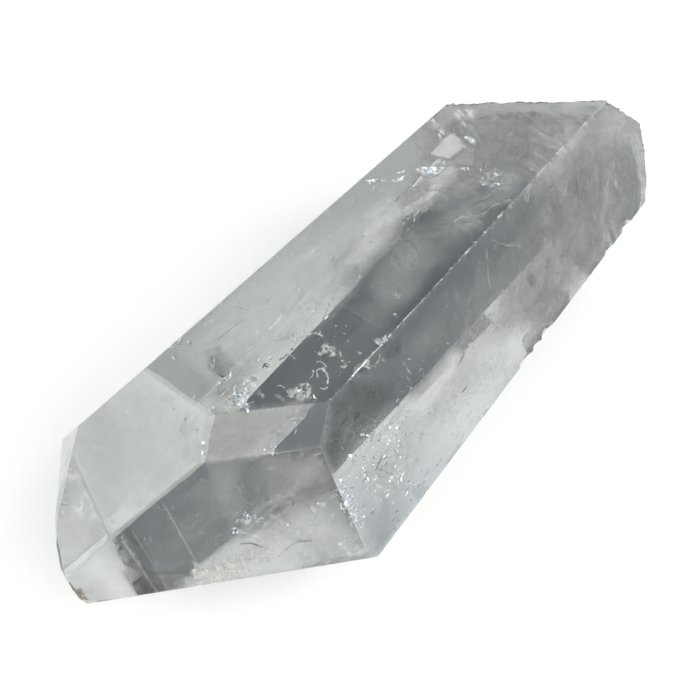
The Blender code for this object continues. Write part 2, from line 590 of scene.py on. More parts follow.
def ranged(tree, value, low, high, to_low=0.0, to_high=1.0, smooth=True):
    """Value moved from one range to another, and kept inside it."""
    node = add_node(tree, "ShaderNodeMapRange")
    if smooth:
        node.interpolation_type = "SMOOTHSTEP"
    for name, number in zip(("From Min", "From Max", "To Min", "To Max"), (low, high, to_low, to_high)):
        node.inputs[name].default_value = number
    tree.links.new(value, node.inputs["Value"])
    return node.outputs[0]


def combined(tree, operation, first, second):
    node = add_node(tree, "ShaderNodeMath", operation=operation)
    tree.links.new(first, node.inputs[0])
    tree.links.new(second, node.inputs[1])
    return node.outputs[0]


def bumped(tree, height, distance):
    node = add_node(tree, "ShaderNodeBump", Strength=1.0, Distance=distance)
    tree.links.new(height, node.inputs["Height"])
    return node.outputs[0]


def ramp_stops(ramp, stops):
    """Give a ramp node its colour stops."""
    elements = ramp.color_ramp.elements
    while len(elements) > 1:
        elements.remove(elements[-1])
    for index, (place, colour) in enumerate(stops):
        element = elements[0] if index == 0 else elements.new(place)
        element.position = place
        element.color = (*colour, 1.0)


def new_material(name):
    """Material, its node tree and its shader."""
    material = bpy.data.materials.new(name)
    material.use_nodes = True
    return material, material.node_tree, material.node_tree.nodes["Principled BSDF"]


def clear_quartz(colours):
    """Clear quartz: plain transmission and index of refraction, with absorption along the path."""
    material, tree, shader = new_material("clear_quartz")
    shader.inputs["Base Color"].default_value = (1.0, 1.0, 1.0, 1.0)
    shader.inputs["IOR"].default_value = REFRACTION
    shader.inputs["Transmission Weight"].default_value = 1.0
    absorption = add_node(tree, "ShaderNodeVolumeAbsorption", Density=ABSORPTION)
    absorption.inputs["Color"].default_value = (*colours.tint, 1.0)
    tree.links.new(absorption.outputs["Volume"], tree.nodes["Material Output"].inputs["Volume"])
    even = placed_pattern(tree, (1.0, 1.0, 1.0))
    pits = ranged(tree, noise_value(tree, even, PIT_SCALE, 0.0), 0.24, 0.34, 1.0, 0.0)
    some = ranged(tree, noise_value(tree, even, PITTED_PATCH_SCALE, 0.0), 0.50, 0.60)
    normal = bumped(tree, combined(tree, "MULTIPLY", pits, some), PIT_DEPTH)
    tree.links.new(normal, shader.inputs["Normal"])
    dull = ranged(tree, noise_value(tree, even, DULL_PATCH_SCALE, 1.0), 0.52, 0.75, 0.0, DULLEST)
    broken = add_node(tree, "ShaderNodeAttribute", attribute_name="broken")
    frosted = ranged(tree, noise_value(tree, even, FROST_SCALE, 1.0), 0.35, 0.65, *FROST_ROUGHNESS)
    frosted = combined(tree, "MULTIPLY", frosted, broken.outputs["Fac"])
    tree.links.new(combined(tree, "ADD", dull, frosted), shader.inputs["Roughness"])
    return material


class QUARTZ_OT_crystal(bpy.types.Operator):
    """Build the crystal with its natural faces, worn edges, chips and broken end"""

    bl_idname = "quartz.crystal"
    bl_label = "Crystal"

    def execute(self, context):
        sizes = context.scene.quartz_sizes
        shape = blank_crystal(sizes.edge_wear)
        piece = object_from(shape, "quartz_body", clear_quartz(context.scene.quartz_colours))
        subtract(piece, [fracture_cutter(solid_tree()), chips_cutter(), nicks_cutter()])
        shape = bmesh.new()
        shape.from_mesh(piece.data)
        refine_faces(shape, sizes.mesh_step)
        mark_broken(shape)
        raise_waves(shape, sizes.face_wave)
        shape.to_mesh(piece.data)
        shape.free()
        piece.data.shade_smooth()
        piece.data.set_sharp_from_angle(angle=SHARP_EDGE_TURN)
        weighted = piece.modifiers.new("weighted", "WEIGHTED_NORMAL")
        weighted.keep_sharp = True
        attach(piece, "root")
        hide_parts(NODE)
        return {"FINISHED"}


# Crumpled veils of each kind: mark, face, depth, length, width, turn, lean, density
# Grey veils: cloudy veils whose grey is painted shade
GREY_SHADE = (
    ((560, 150), "long_0", 3.0, 30.0, 15.0, 20.0, 24.0, 0.8),
    ((530, 140), "long_0", 6.0, 26.0, 16.0, -30.0, -20.0, 0.8),
    ((510, 130), "long_0", 1.6, 24.0, 11.0, 0.0, 5.0, 0.7),
    ((460, 155), "long_0", 3.0, 16.0, 10.0, 10.0, 10.0, 0.7),
    ((405, 262), "long_0", 1.8, 14.0, 6.5, 8.0, 6.0, 0.6),
    ((590, 220), "long_1", 3.0, 26.0, 18.0, 70.0, 30.0, 0.7),
    ((575, 270), "long_1", 5.0, 28.0, 16.0, 60.0, -25.0, 0.7),
    ((620, 170), "long_1", 2.0, 18.0, 16.0, 40.0, 20.0, 0.75),
    ((540, 290), "long_1", 3.0, 26.0, 11.0, 70.0, 10.0, 0.6),
)

CLOUDS = (
    ((520, 330), "long_1", 2.2, 24.0, 9.0, 0.0, 0.0, 0.75),
    ((480, 385), "long_1", 2.2, 22.0, 8.0, 0.0, 0.0, 0.75),
    ((594, 170), "long_1", 1.8, 9.0, 4.0, 80.0, 10.0, 0.95),
    ((566, 184), "long_1", 1.8, 6.0, 5.0, 70.0, 0.0, 0.75),
    ((548, 238), "long_1", 1.5, 10.0, 4.0, 75.0, 0.0, 0.7),
    ((610, 150), "long_1", 2.4, 8.0, 7.0, 60.0, 10.0, 0.5),
    ((560, 255), "long_1", 1.6, 12.0, 3.0, 80.0, 10.0, 0.6),
    ((575, 130), "long_0", 1.4, 9.0, 4.0, 10.0, 10.0, 0.6),
    ((500, 175), "long_0", 1.4, 9.0, 5.0, 20.0, 10.0, 0.6),
)

MILK = (
    ((300, 278), "long_0", 2.0, 36.0, 10.0, 0.0, 4.0, 0.42),
    ((268, 312), "long_0", 1.0, 18.0, 8.0, 4.0, 3.0, 0.35),
    ((330, 330), "long_0", 1.2, 30.0, 12.0, 0.0, 3.0, 0.08),
)

FIBRES = (
    ((540, 140), "long_0", 1.2, 24.0, 10.0, 30.0, 8.0, 0.7),
    ((600, 200), "long_1", 1.2, 18.0, 14.0, 80.0, 8.0, 0.6),
    ((450, 322), "long_1", 0.5, 30.0, 8.0, 0.0, 0.0, 0.45),
    ((388, 392), "long_1", 0.5, 18.0, 8.0, 0.0, 0.0, 0.3),
    ((505, 245), "long_1", 0.5, 20.0, 8.0, 0.0, 0.0, 0.35),
    ((560, 260), "long_1", 1.0, 24.0, 10.0, 75.0, 6.0, 0.35),
    ((480, 185), "long_0", 0.8, 12.0, 6.0, -20.0, 6.0, 0.7),
    ((450, 215), "long_0", 0.8, 12.0, 6.0, 30.0, 6.0, 0.4),
    ((400, 460), "long_1", 0.8, 12.0, 6.0, 10.0, 8.0, 0.5),
)

# Flat hazes: face, depth, density, width of the soft rim, and the marks of their outline
MILK_HAZES = (
    ("end_0", 0.35, 0.6, 0.1,
     ((40, 440), (144, 352), (225, 400), (206, 470), (112, 552), (50, 600), (26, 540))),
    ("end_0", 0.5, 1.0, 0.6, ((26, 500), (74, 506), (102, 545), (50, 610), (24, 560))),
    ("end_0", 0.45, 0.3, 3.0, ((100, 420), (128, 396), (152, 420), (140, 452), (108, 450))),
    ("end_1", 0.3, 1.0, 0.1, ((60, 566), (98, 534), (111, 536), (146, 612), (90, 625), (50, 600))),
    ("end_1", 0.6, 0.6, 0.5, ((54, 572), (104, 532), (138, 608), (92, 622))),
    ("end_1", 1.5, 0.85, 3.0,
     ((338, 484), (392, 560), (300, 578), (160, 594), (230, 540), (264, 512), (300, 492))),
    ("end_1", 1.1, 1.0, 0.8,
     ((199, 562), (226, 542), (262, 528), (310, 540), (300, 576), (215, 592), (170, 598))),
    ("end_1", 1.2, 0.24, 0.8, ((205, 462), (236, 460), (252, 505), (230, 533), (208, 486))),
    ("end_1", 1.2, 0.85, 2.8, ((258, 456), (322, 446), (342, 484), (300, 500), (270, 512))),
    ("long_0", 1.2, 0.85, 1.5, ((328, 274), (362, 212), (390, 190), (410, 208), (402, 240), (368, 270))),
    ("long_1", 0.6, 0.7, 1.2,
     ((384, 424), (402, 399), (420, 380), (434, 364), (450, 344), (466, 346), (456, 378), (424, 420))),
    ("long_0", 0.5, 0.95, 0.08, ((449, 131), (456, 134), (467, 147), (450, 160), (428, 155), (440, 141))),
    ("long_0", 0.3, 0.5, 0.8,
     ((418, 122), (455, 92), (520, 90), (600, 88), (632, 108), (600, 120), (540, 114), (500, 115),
      (460, 122), (436, 134))),
    ("long_0", 0.5, 0.35, 0.15, ((459, 153), (467, 147), (477, 146), (473, 166), (432, 160), (450, 160))),
)

CLOUD_HAZES = (
    ("long_0", 0.7, 0.3, 2.0,
     ((345, 305), (380, 262), (425, 214), (500, 185), (530, 185), (470, 250), (400, 320), (372, 335))),
    ("long_0", 0.9, 0.24, 2.0, ((430, 215), (470, 172), (525, 168), (520, 200), (480, 245), (440, 262))),
    ("long_1", 0.7, 0.26, 2.0, ((390, 378), (420, 318), (482, 258), (498, 280), (466, 330), (410, 385))),
    ("end_1", 1.4, 0.85, 2.4,
     ((338, 480), (392, 560), (300, 575), (160, 592), (226, 540), (262, 508), (300, 490))),
    ("end_1", 0.5, 0.18, 1.0, ((112, 537), (205, 475), (262, 500), (262, 530), (160, 592))),
    ("end_1", 0.9, 0.4, 1.6, ((330, 500), (372, 560), (260, 572), (180, 586), (236, 536), (286, 512))),
    ("long_1", 0.9, 0.2, 3.0, ((336, 478), (378, 424), (470, 345), (500, 360), (430, 450), (385, 552))),
)

# Grey hazes: painted shade over the zones that the crystal shows dark, on the corner face and over the dark
# bands
GREY_SHADE_HAZES = (
    ("end_1", 1.6, 0.9, 1.0, ((230, 458), (262, 452), (272, 500), (252, 515))),
    ("end_1", 1.0, 0.6, 1.6, ((256, 456), (330, 444), (347, 484), (300, 502), (268, 512))),
    ("corner", 0.6, 1.0, 0.5, ((200, 470), (206, 408), (330, 396), (300, 414), (262, 460))),
    ("long_1", 1.8, 0.8, 4.0,
     ((496, 330), (486, 285), (520, 215), (600, 115), (645, 140), (640, 210), (560, 320), (530, 345))),
    ("long_1", 0.8, 0.9, 2.6,
     ((440, 366), (450, 330), (500, 280), (552, 226), (600, 190), (588, 262), (548, 304), (504, 346),
      (456, 388))),
    ("long_0", 0.9, 1.1, 1.6,
     ((404, 112), (470, 96), (540, 98), (512, 150), (476, 200), (436, 216), (402, 216), (394, 192),
      (410, 165))),
)

# Dark hazes: painted shade over the zones that the crystal shows dark
DARK_SHADE_HAZES = (
    ("end_0", 0.4, 0.28, 2.5, ((150, 370), (205, 402), (212, 415), (198, 468), (160, 494), (140, 440))),
    ("corner", 0.3, 0.22, 1.0, ((200, 470), (206, 408), (316, 400), (296, 416), (262, 460))),
    ("long_0", 0.5, 0.3, 1.0, ((142, 374), (172, 342), (200, 362), (224, 396), (208, 412))),
    ("long_1", 0.8, 0.6, 2.5, ((486, 250), (520, 204), (560, 172), (548, 214), (512, 262), (494, 282))),
    ("end_1", 0.4, 0.8, 0.3, ((112, 537), (132, 522), (148, 548), (166, 588), (152, 604), (142, 598))),
    ("end_1", 0.4, 0.45, 0.5,
     ((134, 574), (150, 570), (190, 568), (200, 560), (172, 586), (160, 600), (140, 600))),
    ("end_1", 0.6, 0.45, 1.0, ((230, 458), (260, 454), (270, 500), (252, 513))),
    ("long_0", 0.5, 0.75, 0.35, ((203, 350), (220, 344), (239, 366), (222, 382), (207, 369))),
    ("long_1", 0.3, 1.3, 1.2,
     ((318, 456), (331, 400), (350, 376), (394, 380), (400, 395), (372, 426), (334, 478))),
    ("long_1", 0.2, 1.3, 0.5, ((385, 350), (397, 335), (403, 342), (403, 352), (392, 361), (382, 360))),
    ("long_1", 0.9, 0.6, 4.0,
     ((500, 340), (486, 285), (520, 215), (590, 120), (645, 140), (640, 210), (560, 320))),
    ("long_1", 1.1, 0.5, 2.5,
     ((470, 345), (500, 292), (545, 232), (600, 188), (592, 264), (550, 308), (505, 350))),
    ("long_0", 0.4, 0.5, 1.0, ((418, 122), (455, 92), (520, 90), (500, 115), (460, 124), (436, 140))),
    ("long_1", 1.0, 0.42, 3.0, ((340, 480), (400, 400), (470, 350), (500, 365), (430, 455), (385, 555))),
)


# Cuts across a crumpled sheet, and the spacing of the cuts across a haze
SHEET_CUTS = 30
HAZE_STEP = 0.6 * MM


def inside_frame(face):
    """Turn that stands a flat shape on a face, with its X along the crystal."""
    out = FACES[face]
    along = ALONG - out * out.x
    along.normalize()
    across = out.cross(along)
    return Matrix((along, across, out)).transposed()


def trim_inside(shape, tree, margin, fade=0.0):
    """Keep only what lies inside the crystal, and thin it out towards the faces."""
    for name, out in FACES.items():
        cut_flat(shape, out * (REACH[name] - margin), out, close=False)
    dense = shape.verts.layers.float.get("sheet_density")
    ends = {}
    for vert in shape.verts:
        inside = min(REACH[name] - out.dot(vert.co) for name, out in FACES.items())
        if vert.co.x > FRACTURE_START:
            end = fracture_reach(tree, vert.co.y, vert.co.z) + fracture_relief(vert.co.y, vert.co.z) - margin
            inside = min(inside, end - vert.co.x)
            if vert.co.x > end:
                ends[vert] = end
        if fade:
            vert[dense] *= min(1.0, max(0.0, inside - margin) / fade)
    beyond = [face for face in shape.faces if all(vert in ends for vert in face.verts)]
    bmesh.ops.delete(shape, geom=beyond, context="FACES")
    for vert, end in ends.items():
        if vert.is_valid:
            vert.co.x = end


def veil_sheet(spec, seed):
    """Crumpled sheet, denser in its middle, as its own mesh."""
    mark, face, depth, length, width, turn, lean, density = spec
    shape = bmesh.new()
    bmesh.ops.create_grid(shape, x_segments=SHEET_CUTS, y_segments=SHEET_CUTS, size=1.0)
    dense = shape.verts.layers.float.new("sheet_density")
    stand = inside_frame(face) @ Matrix.Rotation(math.radians(turn), 3, "Z")
    stand = stand @ Matrix.Rotation(math.radians(lean), 3, "X")
    centre = under_face(mark, face, depth * MM)
    for vert in shape.verts:
        flat = vert.co.copy()
        ragged = 0.35 * noise.noise(flat * 1.6 + Vector((seed, 0.0, 0.0)))
        edge = max(0.0, 1.0 - flat.length - ragged)
        vert[dense] = density * min(1.0, edge * 1.9)
        crumple = 0.9 * noise.noise(flat * 1.3 + Vector((0.0, seed, 0.0)))
        crumple += 0.25 * noise.noise(flat * 4.0 + Vector((0.0, 0.0, seed)))
        spot = Vector((flat.x * length / 2, flat.y * width / 2, crumple * 0.10 * min(length, width)))
        vert.co = centre + stand @ (spot * MM)
    return shape


def rim_distance(place, corners):
    """Distance from a place to an outline."""
    nearest = 1.0
    for a, b in zip(corners, corners[1:] + corners[:1]):
        foot, share = intersect_point_line(place, a, b)
        foot = a.lerp(b, max(0.0, min(1.0, share)))
        nearest = min(nearest, (place - foot).length)
    return nearest


def haze(spec, seed):
    """Thin even layer under a face, inside an outline, as its own mesh."""
    face, depth, density, soft, marks = spec
    shape = bmesh.new()
    out = FACES[face]
    corners = [under_face(mark, face, depth * MM) for mark in marks]
    outline = shape.faces.new([shape.verts.new(corner) for corner in corners])
    cut = bmesh.ops.triangulate(shape, faces=[outline])
    along = inside_frame(face).col[0]
    region = slice_region(shape, cut["faces"], along, HAZE_STEP)
    slice_region(shape, region, out.cross(along), HAZE_STEP)
    dense = shape.verts.layers.float.new("sheet_density")
    for vert in shape.verts:
        rim = rim_distance(vert.co, corners)
        uneven = 0.85 + 0.3 * noise.noise(vert.co / MM * 0.35 + Vector((seed, 0.0, 0.0)))
        vert[dense] = density * uneven * min(1.0, (rim + 0.01 * MM) / (soft * MM))
    for vert in shape.verts:
        vert.co += out * noise.noise(vert.co / MM * 0.5 + Vector((0.0, seed, 0.0))) * 0.25 * depth * MM
    return shape


def joined(shapes):
    """One bmesh from several."""
    whole = bmesh.new()
    whole.verts.layers.float.new("sheet_density")
    mesh = bpy.data.meshes.new("part")
    for shape in shapes:
        shape.to_mesh(mesh)
        shape.free()
        whole.from_mesh(mesh)
    bpy.data.meshes.remove(mesh)
    return whole


def hang_inside(name, shapes, material, margin):
    """One piece from many small shapes, kept a margin inside the faces."""
    whole = joined(shapes)
    trim_inside(whole, solid_tree(), margin * MM)
    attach(object_from(whole, name, material), "root")


def veil_material(name, colour, scale, thin, fine, edges, stretch=(1.0, 1.0, 1.0), turn=(0.0, 0.0, 0.0)):
    """Thin sheet of the given colour, seen where it is dense and clear where it thins out: a cloud of tiny
    bubbles when pale, and painted shade when grey and dark.
    """
    material, tree, shader = new_material(name)
    shader.inputs["Base Color"].default_value = (*colour, 1.0)
    shader.inputs["Roughness"].default_value = 1.0
    shader.inputs["Specular IOR Level"].default_value = 0.0
    dense = add_node(tree, "ShaderNodeAttribute", attribute_name="sheet_density")
    vector = placed_pattern(tree, stretch, turn)
    broad = ranged(tree, noise_value(tree, vector, scale, 4.0, 0.62), *edges, thin, 1.0)
    grain = ranged(tree, noise_value(tree, vector, scale * 7.0, 3.0, 0.6), 0.30, 0.70, fine, 1.0)
    alpha = combined(tree, "MULTIPLY", broad, grain)
    alpha = combined(tree, "MULTIPLY", alpha, dense.outputs["Fac"])
    tree.links.new(alpha, shader.inputs["Alpha"])
    return material


def hang_veils(name, sheets, hazes, seed, material, margin, fade):
    """One piece from all the veils of a kind."""
    tree = solid_tree()
    crumpled = joined([veil_sheet(spec, seed + 7.1 * i) for i, spec in enumerate(sheets)])
    trim_inside(crumpled, tree, margin * MM, fade * MM)
    flat = joined([haze(spec, seed + 3.3 * i) for i, spec in enumerate(hazes)])
    trim_inside(flat, tree, 0.1 * MM)
    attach(object_from(joined([crumpled, flat]), name, material), "root")


class QUARTZ_OT_veils(bpy.types.Operator):
    """Hang the cloudy, milky and fibrous veils inside the crystal, and the grey veils and dark hazes of
    painted shade
    """

    bl_idname = "quartz.veils"
    bl_label = "Veils"

    def execute(self, context):
        pale = Vector(context.scene.quartz_colours.veil)
        # Grey veils: painted shade in the grey of the cloudy veils
        grey_shade = veil_material("grey_shade_veil", pale * GREY_SHADE_SHARE, 150.0, 0.45, 0.75, (0.25, 0.75))
        hang_veils("grey_shade_veils", GREY_SHADE, GREY_SHADE_HAZES, 3.0, grey_shade, 0.4, 1.0)
        cloudy = veil_material("cloudy_veil", pale, 230.0, 0.15, 0.62, (0.30, 0.74))
        hang_veils("cloud_veils", CLOUDS, CLOUD_HAZES, 40.0, cloudy, 0.4, 0.8)
        milky = veil_material("milky_veil", pale * MILK_SHARE, 90.0, 0.85, 0.88, (0.3, 0.7))
        hang_veils("milk_veils", MILK, MILK_HAZES, 60.0, milky, 0.15, 0.3)
        # Dark sheets of painted shade over the zones that the crystal shows dark
        dark_shade = veil_material("dark_shade_veil", DARK_SHADE, 700.0, 0.50, 0.50, (0.35, 0.65))
        hang_veils("dark_shade_veils", (), DARK_SHADE_HAZES, 70.0, dark_shade, 0.15, 0.3)
        fibrous = veil_material(
            "fibrous_veil", pale, 300.0, 0.0, 0.5, (0.40, 0.74), (3.2, 0.45, 1.0), (0.0, 0.0, 0.5)
        )
        hang_veils("fibre_veils", FIBRES, (), 90.0, fibrous, 0.4, 0.8)
        return {"FINISHED"}


# White wisps: face, depth, width, density, and the marks that they pass
WISPS = (
    ("long_0", 0.7, 0.36, 1.0,
     ((307, 339), (309, 335), (313, 333), (320, 334), (326, 339), (325, 345), (321, 347))),
    ("long_0", 0.7, 1.15, 1.0, ((323, 348), (330, 350), (337, 353), (341, 352))),
    ("long_0", 0.8, 0.7, 0.9, ((325, 345), (331, 350), (334, 356))),
    ("long_0", 0.9, 0.2, 0.9, ((319, 361), (315, 364), (313, 369), (313, 376), (309, 379))),
    ("long_0", 0.9, 0.3, 1.0,
     ((316, 370), (322, 368), (326, 372), (328, 379), (328, 385), (324, 390), (320, 388))),
    ("long_0", 0.9, 0.16, 0.8, ((318, 361), (324, 363), (327, 368))),
    ("long_0", 0.9, 0.16, 0.7, ((316, 371), (318, 378), (316, 384))),
    ("long_0", 0.8, 1.3, 1.0, ((294, 400), (298, 394), (304, 390), (311, 388))),
    ("long_0", 0.7, 0.6, 1.0, ((293, 393), (298, 387), (305, 384), (309, 389), (306, 397), (300, 401))),
    ("long_0", 0.8, 0.2, 0.9, ((277, 386), (281, 385), (285, 388), (288, 393), (292, 394))),
    ("long_0", 0.8, 0.5, 0.7, ((258, 391), (261, 394), (263, 399))),
    ("long_0", 0.8, 0.6, 0.4, ((283, 401), (280, 396), (276, 394))),
    ("long_0", 0.6, 0.32, 1.0, ((341, 361), (345, 361), (347, 365), (344, 368), (341, 366))),
    ("long_0", 0.4, 0.34, 1.0, ((358, 351), (361, 354))),
    ("long_0", 0.5, 0.44, 0.8, ((291, 355), (296, 358), (302, 357))),
    ("long_0", 0.5, 0.6, 0.7, ((317, 353), (322, 355))),
    ("long_0", 0.5, 0.3, 0.7, ((339, 375), (344, 373))),
    ("long_0", 0.5, 0.6, 0.8, ((289, 336), (294, 338), (299, 341))),
    ("long_0", 0.3, 0.75, 0.9, ((377, 344), (381, 341), (387, 338))),
    ("long_0", 0.4, 0.5, 0.6, ((393, 314), (398, 317))),
    ("long_0", 0.5, 0.8, 0.5, ((394, 293), (400, 297))),
    ("long_1", 0.3, 0.14, 0.9, ((364, 366), (369, 368), (376, 364), (380, 358), (379, 354))),
    ("long_1", 0.3, 0.14, 0.8, ((368, 369), (374, 368), (379, 363))),
    ("long_1", 0.4, 0.18, 0.7, ((400, 360), (404, 364), (408, 370), (411, 374))),
    ("long_1", 0.4, 0.16, 0.6, ((423, 377), (425, 371))),
    ("long_0", 0.8, 1.0, 1.0, ((251, 375), (249, 383), (254, 388))),
    ("long_0", 0.4, 0.14, 0.9, ((213, 357), (211, 363), (212, 370), (214, 366), (214, 360), (213, 357))),
    ("long_0", 0.8, 1.0, 1.0, ((230, 406), (237, 402), (245, 398))),
    ("long_0", 0.8, 0.7, 0.9, ((246, 379), (252, 383), (259, 380))),
    ("end_1", 0.7, 3.2, 1.0, ((196, 582), (214, 574), (232, 568), (244, 560))),
    ("end_1", 0.5, 2.6, 0.8, ((200, 576), (212, 571), (222, 567), (236, 563))),
    ("end_1", 0.5, 1.6, 0.6, ((250, 556), (262, 552), (280, 556))),
    ("end_1", 0.9, 0.9, 0.8, ((236, 520), (244, 523), (252, 520))),
    ("end_1", 0.9, 0.5, 0.9, ((238, 530), (246, 534), (256, 536), (262, 541))),
    ("end_1", 1.2, 1.0, 0.8, ((312, 511), (318, 508), (322, 503))),
    ("end_1", 1.6, 1.4, 0.6, ((262, 527), (272, 523), (278, 517))),
    ("long_1", 0.9, 0.8, 0.5, ((404, 418), (398, 428))),
    ("long_1", 1.1, 1.1, 0.5, ((385, 430), (392, 424), (399, 415))),
    ("long_0", 1.4, 1.6, 0.8, ((483, 178), (490, 173), (498, 176))),
    ("long_0", 1.3, 0.8, 0.8, ((476, 181), (486, 183), (494, 186))),
)

# Faint straight growth lines: face, depth, width, density, and the marks that they join
GROWTH_LINES = (
    ("end_1", 0.3, 0.26, 0.26, ((163, 503), (198, 565))),
    ("end_1", 0.3, 0.3, 0.3, ((122, 540), (157, 592))),
    ("end_1", 0.3, 0.22, 0.22, ((132, 530), (168, 590))),
    ("long_0", 0.15, 0.09, 0.4, ((340, 304), (393, 335))),
    ("long_0", 0.15, 0.07, 0.28, ((346, 305), (394, 332))),
    ("long_0", 0.15, 0.07, 0.25, ((336, 309), (370, 329))),
    ("long_0", 0.15, 0.06, 0.3, ((318, 325), (350, 345))),
    ("long_0", 0.15, 0.06, 0.22, ((312, 331), (338, 348))),
    ("long_0", 0.15, 0.07, 0.25, ((322, 320), (352, 338))),
)

# Brown stains at the worn tip: face, depth, width, density, and the marks that they pass
STAINS = (
    ("end_1", 0.08, 0.5, 0.8, ((73, 588), (79, 595), (88, 601))),
    ("end_1", 0.08, 0.4, 0.8, ((78, 589), (81, 593), (86, 596))),
    ("end_1", 0.08, 0.3, 0.5, ((96, 602), (112, 600))),
    ("end_0", 0.08, 0.25, 0.4, ((57, 560), (61, 574))),
)

# Bruises along the edges: edge, first and last X, width, density
EDGE_BRUISES = (
    (0, -21.0, 33.0, 0.05, 0.6),
    (0, -19.0, -12.0, 0.2, 0.8),
    (0, -11.0, -7.5, 0.17, 0.7),
    (0, 1.0, 2.2, 0.24, 0.9),
    (0, 7.6, 8.8, 0.3, 0.9),
    (0, 16.0, 18.5, 0.28, 0.8),
    (0, 21.0, 22.5, 0.34, 0.8),
    (0, 27.0, 29.0, 0.34, 0.9),
    (1, -22.0, -12.0, 0.07, 0.4),
    (5, -26.0, -10.0, 0.07, 0.35),
)


# Where in the noise each part of a shift is read
SHIFT_OFFSETS = ((0.0, 0.0, 0.0), (19.3, 7.1, 3.7), (5.9, 23.7, 11.3))

# Cuts across a ribbon, and the spacing of the cuts along ribbons, bruises and cracks
RIBBON_CUTS = 6
RIBBON_STEP = 0.12 * MM
BRUISE_STEP = 0.2 * MM
CRACK_STEP = 0.25 * MM


def noise_shift(place):
    """Vector of noise at a place, the same in every run."""
    return Vector([noise.noise(place + Vector(offset)) for offset in SHIFT_OFFSETS])


def smooth_path(points, spacing):
    """Places a spacing apart along a rounded line of points."""
    places = []
    for a, b in zip(points, points[1:]):
        steps = max(1, round((b - a).length / spacing))
        places += [a.lerp(b, i / steps) for i in range(steps)]
    places.append(points[-1])
    for _ in range(3):
        middle = [(a + b * 2 + c) / 4 for a, b, c in zip(places, places[1:], places[2:])]
        places = [places[0], *middle, places[-1]]
    return places


def ribbon(points, out, width, density, ragged, seed):
    """Thin strip that follows a line of points, with an uneven rim."""
    shape = bmesh.new()
    bmesh.ops.create_grid(shape, x_segments=len(points) - 1, y_segments=RIBBON_CUTS, size=1.0)
    dense = shape.verts.layers.float.new("sheet_density")
    for vert in shape.verts:
        spot = (vert.co.x + 1) / 2 * (len(points) - 1)
        i = min(int(spot + 0.01), len(points) - 2)
        side = vert.co.y
        place = points[i].lerp(points[i + 1], spot - i)
        across = out.cross(points[i + 1] - points[i]).normalized()
        swell = 1 + ragged * noise.noise(place / MM * 3.0 + Vector((seed, side, 0.0)))
        rise = 0.12 * noise.noise(place / MM * 2.0 + Vector((0.0, seed, side)))
        vert.co = place + across * (side * swell * width / 2 * MM) + out * (rise * min(1.0, width) * MM)
        vert[dense] = density * (1 - side * side) * (1 + 0.5 * ragged * noise.noise(place / MM * 1.7))
    return shape


def marked_ribbon(spec, ragged, seed):
    face, depth, width, density, marks = spec
    points = smooth_path([under_face(mark, face, depth * MM) for mark in marks], RIBBON_STEP)
    return ribbon(points, FACES[face], width, density, ragged, seed)


def edge_bruise(edge, first, last, width, density, seed):
    """Line of tiny cracks just inside a worn edge."""
    out = edge_direction(edge)
    inset = 0.07 * MM + width * 0.12 * MM
    ends = [long_edge(edge, x * MM) - out * inset for x in (first, last)]
    points = smooth_path(ends, BRUISE_STEP)
    points = [place + noise_shift(place / MM * 1.9) * 0.035 * MM for place in points]
    return ribbon(points, out, width, density, 1.4, seed)


class QUARTZ_OT_wisps(bpy.types.Operator):
    """Lay the white wisps, growth lines, stains and bruised edges just under the faces"""

    bl_idname = "quartz.wisps"
    bl_label = "Wisps"

    def execute(self, context):
        paste = veil_material("white_wisp", WHITE, 1700.0, 0.05, 0.65, (0.40, 0.54))
        wisps = [marked_ribbon(spec, 1.3, 9.0 * i) for i, spec in enumerate(WISPS)]
        hang_inside("white_wisps", wisps, paste, 0.05)
        faint = veil_material("growth_line", WHITE, 900.0, 0.5, 0.8, (0.30, 0.60))
        lines = [marked_ribbon(spec, 0.3, 5.0 * i) for i, spec in enumerate(GROWTH_LINES)]
        hang_inside("growth_lines", lines, faint, 0.05)
        brown = veil_material("iron_stain", RUST, 1100.0, 0.0, 0.6, (0.38, 0.56))
        stains = [marked_ribbon(spec, 1.2, 4.0 * i) for i, spec in enumerate(STAINS)]
        hang_inside("iron_stains", stains, brown, 0.03)
        bruised = veil_material("bruised_edge", WHITE, 1100.0, 0.25, 0.7, (0.40, 0.58))
        edges = [edge_bruise(*spec, 3.0 * i) for i, spec in enumerate(EDGE_BRUISES)]
        hang_inside("bruised_edges", edges, bruised, 0.03)
        return {"FINISHED"}


KEY = Vector(CARDS[0][0]).normalized()

# Radius of the smallest grains, and what the rare largest ones have on top of it
GRAIN_RADIUS = 0.030
GRAIN_EXCESS = 0.14

# Silvery films of gas: face, depth, and the marks of their outline
FILMS = (
    ("long_0", 0.5,
     ((415, 169), (420, 167), (432, 167), (446, 167), (444, 171), (436, 174), (428, 176), (419, 173))),
    ("long_0", 0.5, ((459, 168), (468, 167), (469, 170), (463, 171))),
    ("long_0", 0.4, ((463, 137), (470, 136), (476, 141), (475, 145), (470, 143))),
    ("long_0", 0.5, ((364, 181), (374, 179), (386, 178), (385, 181), (375, 182))),
    ("long_0", 0.5, ((391, 180), (397, 178), (404, 176), (403, 180), (396, 182))),
    ("long_0", 0.5, ((396, 173), (402, 170), (408, 167), (404, 172), (399, 174))),
    ("long_0", 0.4, ((171, 355), (174, 357), (177, 361), (174, 360))),
)

# Crinkle of a film in millimetres, out of its plane and within it
FILM_SWELL = 0.05
FILM_JITTER = 0.11

